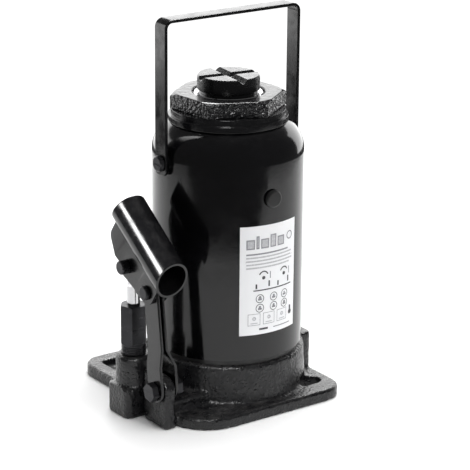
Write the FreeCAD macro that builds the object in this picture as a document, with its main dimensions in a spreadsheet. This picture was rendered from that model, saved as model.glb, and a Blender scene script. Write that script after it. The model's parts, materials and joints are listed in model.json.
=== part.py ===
"""Hydraulic bottle jack, 300 mm closed height, with a hand pump and a carrying bail.

Frame: millimetres, +Z up, origin on the ram axis at the underside of the base.
+X runs along the linkage pins and the bail's pivot line, away from the pump.
+Y points the way the handle socket opens, at the operator.
"""
import FreeCAD, Part
import math
import os
import Sketcher

SIZES = {
    # base casting
    "plate_thick": 10.5, "plate_reach_left": 24.5, "plate_reach_right": 8, "plate_reach_front": 15,
    "plate_reach_back": 42,
    "plate_corner": 21, "plate_front_corner": 40, "plate_edge": 1.6,
    "skirt_wall": 2.5, "skirt_taper": 1.5, "skirt_height": 46.5, "skirt_edge": 2.5,
    "foot_flare": 3.2,
    "spigot_wall": 5.3, "spigot_height": 13.5, "reservoir_floor": 36, "socket_wall": 6,
    "ram_floor": 30,
    "window_left": 79, "window_back": 95, "window_right": 50, "window_front": 67, "window_corner": 4,
    "window_depth": 7,
    "slot_inset_x": 11, "slot_inset_y": 14, "slot_radius": 8.4, "slot_length": 12,
    "pilaster_wall": 10.5, "pilaster_width": 56, "pilaster_drop": 1, "pilaster_corner": 7,
    # reservoir tank and its closures
    "tank_radius": 69, "tank_wall": 3.5, "tank_foot": 51, "shoulder_height": 231, "shoulder_radius": 31,
    "shoulder_top": 258, "neck_inset": 19, "neck_tongue": 7,
    "gasket_thick": 1, "ring_step": 5.5, "ring_rim": 4.5, "ring_upper_rim": 2, "nut_foot": 270,
    "nut_flats": 92.7, "nut_height": 14.5, "nut_turn": -25, "nut_chamfer_radius": 48, "nut_chamfer_run": 12,
    "nut_chamfer_fall": 6, "nut_web": 5.5,
    # ram, cylinder and saddle
    "ram_radius": 31.5, "ram_stroke": 180, "ram_top": 284, "cylinder_wall": 5.5, "piston_gap": 0.08,
    "piston_clear": 3, "cylinder_bore": 34.5, "piston_height": 12, "cup_height": 9, "piston_nut_height": 6,
    "spindle_radius": 18, "rod_fit": 0.05, "wiper_height": 3,
    "saddle_radius": 28.3, "saddle_height": 16, "saddle_step": 3, "saddle_shank_radius": 14,
    "saddle_shank_length": 22, "groove_width": 9.5, "groove_depth": 3.5, "groove_turn": -8,
    # pump
    "pump_offset": 34.2, "boss_radius": 16.3, "boss_top": 56, "block_reach": 18.3, "block_front": 16.5,
    "block_back": 17, "block_height": 27, "block_corner": 5, "web_half": 10, "web_drop": 14,
    "boss_chamfer": 2.2, "chamber_radius": 6.5, "chamber_floor": 12,
    "pump_seat": 30, "pump_thread_radius": 10.6, "hex_flats": 21.7, "hex_foot": 65, "hex_top": 102.5,
    "hex_turn": -8, "plunger_radius": 6, "plunger_foot": 47, "plunger_fit": 0.04,
    "eye_width": 21, "eye_thick": 6, "eye_height": 9.6, "flat_drop": 7.5,
    # handle socket and linkage
    "socket_tilt": 35.6, "socket_length": 85, "socket_radius": 16.3, "socket_bore": 14,
    "socket_slant": 6, "socket_edge": 0.7,
    "plunger_pin_height": 139, "plunger_pin_along": 48.4, "plunger_pin_below": 38.4,
    "link_pin_along": 13.2, "link_pin_below": 31.5, "lobe_along": 73, "lobe_below": 26,
    "plunger_lobe_radius": 11.5, "link_lobe_radius": 10.8, "lobe_radius": 9,
    "yoke_thick": 3.5, "yoke_eye_gap": 3.3, "yoke_link_gap": 4.4, "yoke_mouth_gap": 6, "yoke_fold": 5,
    "pin_radius": 5, "pin_fit": 0.08, "open_pivot_side": 2.0, "open_pivot_rise": 0.9,
    "fulcrum_y": -44.5, "fulcrum_z": 34.5, "lug_half": 5.3, "lug_shift": 2.3, "lug_radius": 12,
    "lug_back": 20, "lug_rib_set": 8,
    "strap_width": 21.5, "strap_thick": 3, "strap_top_inner": 1, "strap_foot_gap": 0.95,
    "strap_flare_start": 22, "strap_flare_end": 38,
    "pin_head_radius": 6.4, "pin_head_height": 7.6, "link_head_height": 3.5, "pin_edge": 0.9,
    "fulcrum_radius": 5, "fulcrum_flats": 15.5,
    "fulcrum_head_height": 6.4, "clip_thick": 1.5, "clip_rim": 3, "pin_tail": 4,
    # carrying bail
    "bail_pivot_z": 228.5, "bail_gap": 1.9, "bail_thick": 3, "bail_width": 16.4, "bail_top": 358,
    "bail_tail": 11, "bail_corner": 8, "bail_screw_radius": 4, "bail_head_radius": 7.5,
    "bail_head_height": 3.6, "bail_boss_radius": 9, "bail_fit": 0.1, "bail_side_fit": 0.4,
    # filler, label
    "filler_x": -1, "filler_z": 201, "filler_radius": 5.2, "filler_cap_radius": 8.2,
    "filler_cap_height": 4,
    "filler_stem": 9, "label_foot": 75, "label_top": 177.3, "label_half_angle": 25.5,
    "label_turn": -91, "label_thick": 0.25,
    # oil ways and valves
    "gallery_z": 22, "gallery_radius": 4.5, "gallery_overlap": 3.5, "delivery_step": 19.2,
    "oil_way_radius": 2.2, "valve_ball_radius": 3.5, "rise_x": -20,
    "overload_depth": 37.4, "overload_radius": 6, "overload_ball_radius": 5.4, "overload_spring": 12,
    "overload_screw_length": 7, "plug_length": 8,
    "release_x": -38, "release_seat": 32, "release_boss_radius": 11, "release_boss_reach": 7,
    "release_thread_radius": 6, "release_tail": 14, "release_ball_radius": 3.2, "strainer_radius": 5,
    "strainer_x": -50, "strainer_y": -16, "strainer_height": 6, "cylinder_gasket": 2, "filler_gap": 0.3,
    "pump_gasket": 1.5, "seal_width": 3, "seal_depth": 1.4,
}


class Size:
    """A length: its number now, and the expression that ties it to the sheet."""

    def __init__(self, number, text):
        self.number = float(number)
        self.text = text

    def __add__(self, other):
        return join(self, "+", other)

    def __radd__(self, other):
        return join(other, "+", self)

    def __sub__(self, other):
        return join(self, "-", other)

    def __rsub__(self, other):
        return join(other, "-", self)

    def __mul__(self, other):
        return join(self, "*", other)

    def __rmul__(self, other):
        return join(other, "*", self)

    def __truediv__(self, other):
        return join(self, "/", other)

    def __neg__(self):
        return join(0, "-", self)


def as_size(value):
    return value if isinstance(value, Size) else Size(value, f"({value})" if value < 0 else f"{value}")


def join(left, sign, right):
    left, right = as_size(left), as_size(right)
    a, b = left.number, right.number
    number = {"+": a + b, "-": a - b, "*": a * b, "/": a / b if b else 0.0}[sign]
    return Size(number, f"({left.text} {sign} {right.text})")


def root(value):
    return Size(math.sqrt(value.number), f"sqrt({value.text})")


def cosine(degrees):
    return Size(math.cos(math.radians(degrees.number)), f"cos({degrees.text} * 1deg)")


def sine(degrees):
    return Size(math.sin(math.radians(degrees.number)), f"sin({degrees.text} * 1deg)")


def direction(rise, run):
    """The angle in degrees of a line that climbs by rise over run."""
    angle = math.degrees(math.atan2(rise.number, run.number))
    return Size(angle, f"(atan2({rise.text}; {run.text}) / 1deg)")


doc = FreeCAD.newDocument("bottle_jack")
sheet = doc.addObject("Spreadsheet::Sheet", "sizes")
size = {}
for row, (alias, number) in enumerate(SIZES.items(), start=1):
    sheet.set(f"A{row}", alias)
    sheet.set(f"B{row}", str(number))
    sheet.setAlias(f"B{row}", alias)
    size[alias] = Size(number, f"sizes.{alias}")
doc.recompute()
nodes = []
FAR = 400
VECTOR = FreeCAD.Vector
PLAIN = FreeCAD.Rotation()
ABOUT_X = FreeCAD.Rotation(VECTOR(1, 0, 0), 10)
ABOUT_Z = FreeCAD.Rotation(VECTOR(0, 0, 1), 10)


def bind(thing, prop, value):
    """Ties one property of a document object to the sheet."""
    thing.setExpression(prop, as_size(value).text)


def place(thing, x=0, y=0, z=0, turn=None, rotation=PLAIN):
    """Puts an object at x, y, z, turned by an angle about the axis of rotation."""
    start = VECTOR(as_size(x).number, as_size(y).number, as_size(z).number)
    thing.Placement = FreeCAD.Placement(start, rotation)
    for axis, value in zip("xyz", (x, y, z)):
        bind(thing, f"Placement.Base.{axis}", value)
    if turn is not None:
        thing.setExpression("Placement.Rotation.Angle", f"{turn.text} * 1deg")


def body(label):
    part = doc.addObject("PartDesign::Body", label)
    part.Label = label
    nodes.append(part)
    return part


def sketch(part, plane, offset=0):
    """A sketch on one of the body's own planes, moved along that plane's normal."""
    drawing = part.newObject("Sketcher::SketchObject", f"{part.Label}_sketch")
    support = [f for f in part.Origin.OriginFeatures if f.Role == plane][0]
    drawing.AttachmentSupport = (support, [""])
    drawing.MapMode = "FlatFace"
    bind(drawing, "AttachmentOffset.Base.z", offset)
    return drawing


def pin_down(drawing, geometry, end, x, y):
    """Fixes one point of a sketch at x, y."""
    for axis, value, line in (("DistanceX", x, -2), ("DistanceY", y, -1)):
        value = as_size(value)
        if value.text == "0":
            drawing.addConstraint(Sketcher.Constraint("PointOnObject", geometry, end, line))
        else:
            rule = Sketcher.Constraint(axis, -1, 1, geometry, end, value.number)
            bind(drawing, f"Constraints[{drawing.addConstraint(rule)}]", value)


def arc_between(start, end, radius, left_turn):
    """The short arc of a radius from start to end."""
    first, last = (start, end) if left_turn else (end, start)
    chord = last - first
    middle = (first + last) * 0.5
    rise = math.sqrt(max(radius * radius - chord.Length ** 2 / 4, 0))
    centre = middle + VECTOR(-chord.y, chord.x, 0).normalize() * rise
    begin = math.atan2(first.y - centre.y, first.x - centre.x)
    finish = math.atan2(last.y - centre.y, last.x - centre.x)
    return Part.ArcOfCircle(Part.Circle(centre, VECTOR(0, 0, 1), radius), begin, finish)


def outline(drawing, corners):
    """A closed outline. A corner is (x, y), or (x, y, radius) where an arc of that radius
    leads to the next corner: a radius tuple's fourth value is True for a left-hand turn."""
    points = [VECTOR(as_size(c[0]).number, as_size(c[1]).number, 0) for c in corners]
    count = len(corners)
    ends = []
    for index, corner in enumerate(corners):
        start, end = points[index], points[(index + 1) % count]
        if len(corner) == 2:
            ends.append((drawing.addGeometry(Part.LineSegment(start, end), False), 1, 2))
            continue
        left_turn = corner[3]
        arc = arc_between(start, end, as_size(corner[2]).number, left_turn)
        geometry = drawing.addGeometry(arc, False)
        ends.append((geometry, 1, 2) if left_turn else (geometry, 2, 1))
        chord = end - start
        if abs(chord.Length - 2 * as_size(corner[2]).number) > 1e-6:
            rule, value = "Radius", corner[2]
            rule = Sketcher.Constraint(rule, geometry, as_size(value).number)
        elif abs(chord.x) < 1e-6:
            rule, value = "DistanceX", corner[0]
            rule = Sketcher.Constraint(rule, -1, 1, geometry, 3, as_size(value).number)
        else:
            rule, value = "DistanceY", corner[1]
            rule = Sketcher.Constraint(rule, -1, 1, geometry, 3, as_size(value).number)
        bind(drawing, f"Constraints[{drawing.addConstraint(rule)}]", value)
    for index, corner in enumerate(corners):
        geometry, first, _ = ends[index]
        before, _, last = ends[index - 1]
        drawing.addConstraint(Sketcher.Constraint("Coincident", before, last, geometry, first))
        pin_down(drawing, geometry, first, corner[0], corner[1])


def circle(drawing, x, y, radius):
    centre = VECTOR(as_size(x).number, as_size(y).number, 0)
    shape = Part.Circle(centre, VECTOR(0, 0, 1), as_size(radius).number)
    geometry = drawing.addGeometry(shape, False)
    pin_down(drawing, geometry, 3, x, y)
    rule = Sketcher.Constraint("Radius", geometry, as_size(radius).number)
    bind(drawing, f"Constraints[{drawing.addConstraint(rule)}]", radius)


def rectangle(left, low, right, high):
    return [(left, low), (right, low), (right, high), (left, high)]


def rounded(left, low, right, high, radii):
    """A rectangle with its own radius at each corner, from the low left one round."""
    a, b, c, d = radii
    return [(left + a, low), (right - b, low, b, True), (right, low + b), (right, high - c, c, True),
            (right - c, high), (left + d, high, d, True), (left, high - d), (left, low + a, a, True)]


def hexagon(flats, turn=0):
    """A hexagon across its flats, its first corner turned from the X axis."""
    reach = flats / math.sqrt(3)
    angles = [as_size(turn) + 60 * k for k in range(6)]
    return [(reach * cosine(angle), reach * sine(angle)) for angle in angles]


def grow(part, kind, drawing, **values):
    """Adds a Pad, Pocket, Revolution or Groove made from a sketch."""
    feature = part.newObject(f"PartDesign::{kind}", f"{part.Label}_{kind.lower()}")
    feature.Profile = drawing
    if kind in ("Revolution", "Groove"):
        feature.ReferenceAxis = (drawing, ["V_Axis"])
        feature.Angle = 360
    if "length" in values:
        bind(feature, "Length", values["length"])
    elif kind == "Pocket":
        feature.Type = "ThroughAll"
    feature.Midplane = values.get("both_ways", False) if kind in ("Pad", "Pocket") else False
    feature.Reversed = values.get("up", False)
    part.Tip = feature
    return feature


def extrude(part, plane, corners, length, offset=0, up=False, both_ways=False, holes=()):
    drawing = sketch(part, plane, offset)
    if corners:
        outline(drawing, corners)
    for hole in holes:
        circle(drawing, *hole)
    return grow(part, "Pad", drawing, length=length, up=up, both_ways=both_ways)


def revolve(part, corners):
    drawing = sketch(part, "XZ_Plane")
    outline(drawing, corners)
    return grow(part, "Revolution", drawing)


def groove(part, corners):
    drawing = sketch(part, "XZ_Plane")
    outline(drawing, corners)
    return grow(part, "Groove", drawing)


def drill(part, plane, x, y, radius, length=None, offset=0, up=False, both_ways=False):
    """A round hole; up cuts along the plane's normal, otherwise against it."""
    drawing = sketch(part, plane, offset)
    circle(drawing, x, y, radius)
    values = {"up": up, "both_ways": both_ways}
    if length is not None:
        values["length"] = length
    return grow(part, "Pocket", drawing, **values)


def dress(part, kind, amount, chosen):
    """Rounds or bevels the edges of the body's last shape that the test chooses."""
    doc.recompute()
    edges = enumerate(part.Tip.Shape.Edges, start=1)
    names = [f"Edge{number}" for number, edge in edges if chosen(edge)]
    if not names:
        raise RuntimeError(f"{part.Label}: no edges to dress")
    base = part.Tip
    feature = part.newObject(f"PartDesign::{kind}", f"{part.Label}_{kind.lower()}")
    feature.Base = (base, names)
    bind(feature, "Radius" if kind == "Fillet" else "Size", amount)
    part.Tip = feature
    return feature


def at_height(z):
    """Chooses the edges that lie wholly at one height."""
    level = as_size(z).number

    def chosen(edge):
        box = edge.BoundBox
        return abs(box.ZMin - level) < 1e-3 and abs(box.ZMax - level) < 1e-3
    return chosen


def ring(label, inner, outer, foot, top):
    """A plain ring or disc about the ram axis."""
    part = body(label)
    revolve(part, rectangle(inner, foot, outer, top))
    return part


def drill_between(part, start, end, radius):
    """A straight slanting hole from one point to another."""
    first, last = (VECTOR(*[as_size(value).number for value in point]) for point in (start, end))
    drawing = sketch(part, "XY_Plane")
    turn = FreeCAD.Rotation(VECTOR(0, 0, -1), last - first)
    drawing.AttachmentOffset = FreeCAD.Placement(first, turn)
    for axis, value in zip("xyz", start):
        bind(drawing, f"AttachmentOffset.Base.{axis}", value)
    circle(drawing, 0, 0, radius)
    return grow(part, "Pocket", drawing, length=(last - first).Length)


def group(label, members):
    """Several separate solids that count as one node."""
    together = doc.addObject("Part::Compound", label)
    together.Label = label
    together.Links = members
    for member in members:
        nodes.remove(member)
    nodes.append(together)
    return together


def trim(part, plane, corners, reach):
    """Cuts away all that lies outside an outline, out to a square of half-width reach."""
    drawing = sketch(part, plane)
    outline(drawing, rectangle(-reach, -reach, reach, reach))
    outline(drawing, corners)
    return grow(part, "Pocket", drawing, both_ways=True)


# ---- sizes that several pieces share ----
s = size
half = 0.5
tank = s["tank_radius"]
tank_bore = tank - s["tank_wall"]
skirt_radius = tank + s["skirt_wall"]
skirt_foot = skirt_radius + s["skirt_taper"]
plate_left = tank + s["plate_reach_left"]
plate_right = tank + s["plate_reach_right"]
plate_front = tank + s["plate_reach_front"]
plate_back = tank + s["plate_reach_back"]
slot_x = tank - s["slot_inset_x"]
slot_y = tank - s["slot_inset_y"]
pilaster_reach = tank + s["pilaster_wall"]
release_boss_end = tank + s["release_boss_reach"]
pump_x = -(tank + s["pump_offset"])
block_left = s["block_reach"] - pump_x
delivery_seat = pump_x + s["delivery_step"]
neck_hole = tank - s["neck_inset"]
ring_radius = neck_hole + s["ring_rim"]
ring_upper = neck_hole + s["ring_upper_rim"]
bail_inner = tank + s["bail_gap"]
spigot_radius = tank_bore - 0.2
spigot_bore = spigot_radius - s["spigot_wall"]
cylinder_radius = s["cylinder_bore"] + s["cylinder_wall"]
socket_outer = cylinder_radius + s["socket_wall"]
spigot_top = s["skirt_height"] + s["spigot_height"]
cylinder_foot = s["ram_floor"] + s["cylinder_gasket"]
cylinder_top = s["nut_foot"] + s["nut_height"] - s["nut_web"]
piston_radius = s["cylinder_bore"] - s["piston_gap"]
piston_nut_foot = s["ram_floor"] + s["piston_clear"]
cup_foot = piston_nut_foot + s["piston_nut_height"]
piston_foot = cup_foot + s["cup_height"]
piston_top = piston_foot + s["piston_height"]
guide_foot = piston_top + s["ram_stroke"] + 1
wiper_top = cylinder_top + s["wiper_height"]
nut_hole = s["ram_radius"] + 1.5
ring_foot = s["shoulder_top"] + s["gasket_thick"]
saddle_top = s["ram_top"] + s["saddle_height"]
gallery_end = pilaster_reach
overload_seat = gallery_end - s["overload_depth"]
gallery_inlet = pump_x + s["chamber_radius"] - s["gallery_overlap"]
release_pocket = s["release_ball_radius"] + 0.2
release_thread_foot = s["release_seat"] + 8

# The link's upper pivot and the socket tube's inner end, from the plunger pin and the tilt.
tilt_cos = cosine(s["socket_tilt"])
tilt_sin = sine(s["socket_tilt"])
socket_y = -(s["plunger_pin_along"] * tilt_cos + s["plunger_pin_below"] * tilt_sin)
socket_z = s["plunger_pin_height"] - s["plunger_pin_along"] * tilt_sin + s["plunger_pin_below"] * tilt_cos
link_y = socket_y + s["link_pin_along"] * tilt_cos + s["link_pin_below"] * tilt_sin
link_z = socket_z + s["link_pin_along"] * tilt_sin - s["link_pin_below"] * tilt_cos
link_run = link_y - s["fulcrum_y"]
link_rise = link_z - s["fulcrum_z"]
link_length = root(link_run * link_run + link_rise * link_rise)
link_lean = direction(link_rise, link_run) - 90
lug_x = pump_x + s["lug_shift"]
strap_foot_inner = s["lug_half"] + s["strap_foot_gap"]
yoke_eye_outer = s["yoke_eye_gap"] + s["yoke_thick"]
yoke_link_outer = s["yoke_link_gap"] + s["yoke_thick"]


def base_plate(part):
    plate = rounded(-plate_left, -plate_front, plate_right, plate_back,
                    (s["plate_front_corner"], s["plate_corner"], s["plate_corner"], s["plate_corner"]))
    extrude(part, "XY_Plane", plate, s["plate_thick"])
    dress(part, "Fillet", s["plate_edge"], at_height(s["plate_thick"]))
    window = rounded(-s["window_left"], s["window_front"], -s["window_right"], s["window_back"],
                     (s["window_corner"],) * 4)
    drawing = sketch(part, "XY_Plane", s["plate_thick"])
    outline(drawing, window)
    grow(part, "Pocket", drawing, length=s["window_depth"])


def base_skirt(part):
    """The round skirt, its foot flare and its spigot, with the cylinder's socket inside."""
    flare_top = s["plate_thick"] + s["foot_flare"]
    wide = skirt_foot + s["foot_flare"]
    edge = s["skirt_edge"]
    revolve(part, [
        (0, 0), (wide, 0), (wide, s["plate_thick"], s["foot_flare"], False),
        (skirt_foot, flare_top),
        (skirt_radius, s["skirt_height"] - edge, edge, True),
        (skirt_radius - edge, s["skirt_height"]), (spigot_radius, s["skirt_height"]),
        (spigot_radius, spigot_top), (spigot_bore, spigot_top), (spigot_bore, s["reservoir_floor"]),
        (socket_outer, s["reservoir_floor"]), (socket_outer, spigot_top), (cylinder_radius, spigot_top),
        (cylinder_radius, s["ram_floor"]), (0, s["ram_floor"])])


def base_pump_block(part):
    """The block under the pump, its round boss, and the lug that carries the link."""
    block = rounded(-block_left, -s["block_front"], -tank_bore, s["block_back"],
                    (s["block_corner"], 1, 1, s["block_corner"]))
    extrude(part, "XY_Plane", block, s["block_height"])
    extrude(part, "XY_Plane", [], s["boss_top"], holes=[(pump_x, 0, s["boss_radius"])])
    dress(part, "Chamfer", s["boss_chamfer"], at_height(s["boss_top"]))
    web = rectangle(pump_x, -s["web_half"], -tank_bore, s["web_half"])
    extrude(part, "XY_Plane", web, s["boss_top"] - s["web_drop"])
    lug_front = s["fulcrum_y"] - s["lug_radius"]
    lug_top = s["fulcrum_z"] + s["lug_radius"]
    lug = [(lug_front, 0), (-s["lug_back"], 0), (-s["lug_back"], lug_top), (s["fulcrum_y"], lug_top,
           s["lug_radius"], True), (lug_front, s["fulcrum_z"])]
    drawing = sketch(part, "YZ_Plane", lug_x)
    outline(drawing, lug)
    grow(part, "Pad", drawing, length=2 * s["lug_half"], both_ways=True)
    rib = rectangle(lug_x + s["lug_half"] - 1, lug_front + s["lug_rib_set"], -half * tank_bore,
                    -s["lug_back"])
    extrude(part, "XY_Plane", rib, s["fulcrum_z"] - half * s["strap_width"] - 2)


def base_pilaster(part):
    """The rib on the far side that holds the overload valve."""
    wide = half * s["pilaster_width"]
    corner = s["pilaster_corner"]
    pilaster = rounded(tank_bore, -wide, pilaster_reach, wide, (1, corner, corner, 1))
    extrude(part, "XY_Plane", pilaster, s["skirt_height"] - s["pilaster_drop"])


def base_slots(part):
    """Two dished bolt slots on the far side, open ended under the skirt."""
    for y in (-slot_y, plate_back - plate_front + slot_y):
        drawing = sketch(part, "XY_Plane")
        left, right, radius = slot_x - s["slot_length"], slot_x, s["slot_radius"]
        outline(drawing, [(left, y - radius), (right, y - radius, radius, True), (right, y + radius),
                          (left, y + radius, radius, True)])
        grow(part, "Pocket", drawing, up=True, length=s["plate_thick"] + s["foot_flare"] * 2)


def base_oil_ways(part):
    """Pump seat, suction hole, gallery, release bore and overload bore."""
    lift = s["chamber_floor"]
    thread = s["pump_thread_radius"]
    drill(part, "XY_Plane", pump_x, 0, thread, s["boss_top"], s["pump_seat"], True)
    drill(part, "XY_Plane", pump_x, 0, s["chamber_radius"], s["boss_top"], lift, True)
    drill(part, "XY_Plane", pump_x, 0, s["oil_way_radius"], lift, half * lift, True)
    gallery = (0, s["gallery_z"])
    through = gallery_end - gallery_inlet + 1
    drill(part, "YZ_Plane", *gallery, s["oil_way_radius"], through, gallery_inlet, True)
    drill(part, "YZ_Plane", *gallery, s["gallery_radius"], FAR, delivery_seat, True)
    drill(part, "YZ_Plane", *gallery, s["overload_radius"], FAR, overload_seat, True)
    drill(part, "XY_Plane", s["rise_x"], 0, s["oil_way_radius"], 40, s["gallery_z"], True)
    relief_x = overload_seat + 10
    drill(part, "XY_Plane", relief_x, 0, s["oil_way_radius"], 40, s["gallery_z"], True)
    drill_between(part, (s["strainer_x"], s["strainer_y"], s["reservoir_floor"]),
                  (pump_x + 1, -1, 0.75 * lift), s["oil_way_radius"])


def base_release_bore(part):
    """A round boss on the operator's side, bored for the release screw and its ball."""
    centre = (s["release_x"], s["gallery_z"])
    start = half * tank_bore
    drawing = sketch(part, "XZ_Plane", -start)
    circle(drawing, *centre, s["release_boss_radius"])
    grow(part, "Pad", drawing, length=release_boss_end - start, up=True)
    seat = s["release_seat"]
    drill(part, "XZ_Plane", *centre, s["oil_way_radius"], seat + 5, 0)
    drill(part, "XZ_Plane", *centre, release_pocket, FAR, -seat)
    drill(part, "XZ_Plane", *centre, s["release_thread_radius"], FAR, -release_thread_foot)
    back = release_thread_foot + 2.5
    drill(part, "XY_Plane", s["release_x"], back, s["oil_way_radius"], 40, s["gallery_z"], True)


def base_casting():
    part = body("base_casting")
    base_plate(part)
    base_skirt(part)
    base_pump_block(part)
    base_pilaster(part)
    base_slots(part)
    base_oil_ways(part)
    base_release_bore(part)
    drill(part, "YZ_Plane", s["fulcrum_y"], s["fulcrum_z"], s["fulcrum_radius"], 60, pump_x - 30, True)


def reservoir_tank():
    """A drawn shell with a round shoulder, a neck hole and the filler hole."""
    part = body("reservoir_tank")
    arc, wall = s["shoulder_radius"], s["tank_wall"]
    centre = tank - arc
    rise = s["shoulder_top"] - s["shoulder_height"]
    rim = centre + root(arc * arc - rise * rise)
    inner = arc - wall
    inset = neck_hole - centre
    inner_top = s["shoulder_height"] + root(inner * inner - inset * inset)
    revolve(part, [
        (tank_bore, s["tank_foot"]), (tank, s["tank_foot"]),
        (tank, s["shoulder_height"], arc, True), (rim, s["shoulder_top"]),
        (neck_hole, s["shoulder_top"]), (neck_hole, inner_top, inner, False),
        (tank_bore, s["shoulder_height"])])
    drill(part, "XZ_Plane", s["filler_x"], s["filler_z"], s["filler_radius"], tank + 5, 0, True)


def tank_closures():
    ring("tank_seal", spigot_radius, tank - 1.5, s["skirt_height"], s["tank_foot"])
    ring("neck_gasket", neck_hole, ring_upper, s["shoulder_top"], ring_foot)
    part = body("neck_ring")
    bore = cylinder_radius + 0.15
    tongue = neck_hole - 0.2
    tongue_foot = s["shoulder_top"] - s["neck_tongue"]
    step = ring_foot + s["ring_step"]
    revolve(part, [
        (bore, tongue_foot), (tongue, tongue_foot), (tongue, ring_foot),
        (ring_radius, ring_foot), (ring_radius, step), (ring_upper, step),
        (ring_upper, s["nut_foot"]), (bore, s["nut_foot"])])


def top_nut():
    """The hexagon nut that clamps the tank down, threaded on the cylinder."""
    part = body("top_nut")
    top = s["nut_foot"] + s["nut_height"]
    extrude(part, "XY_Plane", hexagon(s["nut_flats"]), s["nut_height"], s["nut_foot"])
    drill(part, "XY_Plane", 0, 0, nut_hole, FAR)
    part.Tip.Reversed = True
    drill(part, "XY_Plane", 0, 0, cylinder_radius, cylinder_top)
    part.Tip.Reversed = True
    near = s["nut_chamfer_radius"]
    far = near + s["nut_chamfer_run"]
    groove(part, [(near, top), (far, top), (far, top - s["nut_chamfer_fall"])])
    place(part, turn=s["nut_turn"], rotation=ABOUT_Z)


def ram_cylinder():
    ring("main_cylinder", s["cylinder_bore"], cylinder_radius, cylinder_foot, cylinder_top)
    ring("cylinder_gasket", s["cylinder_bore"], cylinder_radius, s["ram_floor"], cylinder_foot)
    ring("ram_guide", s["ram_radius"] + s["rod_fit"], s["cylinder_bore"], guide_foot, cylinder_top)
    ring("ram_wiper", s["ram_radius"] + s["rod_fit"], nut_hole, cylinder_top, wiper_top)


def ram():
    part = body("ram")
    bore = s["saddle_shank_radius"] + s["rod_fit"]
    bore_foot = s["ram_top"] - s["saddle_shank_length"] - 2
    edge = 0.8
    revolve(part, [
        (0, piston_nut_foot), (s["spindle_radius"], piston_nut_foot), (s["spindle_radius"], piston_top),
        (s["ram_radius"], piston_top), (s["ram_radius"], s["ram_top"] - edge),
        (s["ram_radius"] - edge, s["ram_top"]), (bore, s["ram_top"]), (bore, bore_foot), (0, bore_foot)])
    ring("piston_head", s["spindle_radius"], piston_radius, piston_foot, piston_top)
    cup = body("piston_cup")
    lip = 3
    revolve(cup, [
        (s["spindle_radius"], cup_foot + lip), (s["spindle_radius"] + lip, cup_foot + lip),
        (piston_radius - lip, cup_foot + 2 * lip), (piston_radius - 1, cup_foot),
        (piston_radius, cup_foot), (piston_radius, piston_foot), (s["spindle_radius"], piston_foot)])
    nut = body("piston_nut")
    extrude(nut, "XY_Plane", hexagon(3 * s["spindle_radius"]), s["piston_nut_height"], piston_nut_foot,
            holes=[(0, 0, s["spindle_radius"])])


def saddle():
    """The load pad: a shank in the ram, a stepped foot and crossed grooves on top."""
    part = body("saddle")
    foot = s["saddle_radius"] - 1.8
    edge = 1.2
    revolve(part, [
        (0, s["ram_top"] - s["saddle_shank_length"]),
        (s["saddle_shank_radius"], s["ram_top"] - s["saddle_shank_length"]),
        (s["saddle_shank_radius"], s["ram_top"]), (foot, s["ram_top"]),
        (foot, s["ram_top"] + s["saddle_step"]), (s["saddle_radius"], s["ram_top"] + s["saddle_step"]),
        (s["saddle_radius"], saddle_top - edge), (s["saddle_radius"] - edge, saddle_top),
        (0, saddle_top)])
    wide = half * s["groove_width"]
    for plane in ("XZ_Plane", "YZ_Plane"):
        drawing = sketch(part, plane)
        outline(drawing, [(-wide, saddle_top), (-1, saddle_top - s["groove_depth"]),
                          (1, saddle_top - s["groove_depth"]), (wide, saddle_top)])
        grow(part, "Pocket", drawing, both_ways=True)
    place(part, turn=s["groove_turn"], rotation=ABOUT_Z)


def pump_cylinder():
    part = body("pump_cylinder")
    foot = s["pump_seat"] + s["pump_gasket"]
    extrude(part, "XY_Plane", [], s["hex_foot"] - foot, foot, holes=[(0, 0, s["pump_thread_radius"])])
    extrude(part, "XY_Plane", hexagon(s["hex_flats"], s["hex_turn"]), s["hex_top"] - s["hex_foot"],
            s["hex_foot"])
    drill(part, "XY_Plane", 0, 0, s["plunger_radius"] + s["plunger_fit"], FAR, 0, True)
    near, far = half * s["hex_flats"], s["hex_flats"]
    groove(part, [(near, s["hex_foot"]), (far, s["hex_foot"]), (far, s["hex_foot"] + near)])
    groove(part, [(near, s["hex_top"]), (far, s["hex_top"]), (far, s["hex_top"] - half * near)])
    place(part, pump_x)
    gasket = ring("pump_gasket", s["plunger_radius"] + s["plunger_fit"], s["pump_thread_radius"],
                  s["pump_seat"], foot)
    place(gasket, pump_x)


def pump_plunger():
    """The plunger with its seal groove, and the slotted eye that the socket's pin works in."""
    part = body("pump_plunger")
    radius, pin = s["plunger_radius"], s["plunger_pin_height"]
    core = radius - s["seal_depth"]
    low = s["plunger_foot"] + s["seal_width"]
    high = low + s["seal_width"]
    revolve(part, [
        (0, s["plunger_foot"]), (radius, s["plunger_foot"]), (radius, low), (core, low), (core, high),
        (radius, high), (radius, pin - 8), (0, pin - 8)])
    thick = half * s["eye_thick"]
    flat_foot = pin - s["plunger_lobe_radius"] - s["flat_drop"]
    flats = sketch(part, "XZ_Plane")
    outline(flats, rectangle(thick, flat_foot, radius + 1, pin))
    outline(flats, rectangle(-radius - 1, flat_foot, -thick, pin))
    grow(part, "Pocket", flats, both_ways=True)
    wide, tall = half * s["eye_width"], s["eye_height"]
    eye = rounded(-wide, pin - tall, wide, pin + tall, (5, 5, 8, 8))
    extrude(part, "YZ_Plane", eye, s["eye_thick"], both_ways=True)
    rise = s["pin_radius"] + s["open_pivot_rise"]
    side = s["pin_radius"] + s["open_pivot_side"] - rise
    drawing = sketch(part, "YZ_Plane")
    outline(drawing, [(-side, pin - rise), (side, pin - rise, rise, True), (side, pin + rise),
                      (-side, pin + rise, rise, True)])
    grow(part, "Pocket", drawing, both_ways=True)
    place(part, pump_x)
    seal = ring("plunger_seal", core, radius, low, high)
    place(seal, pump_x)


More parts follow.
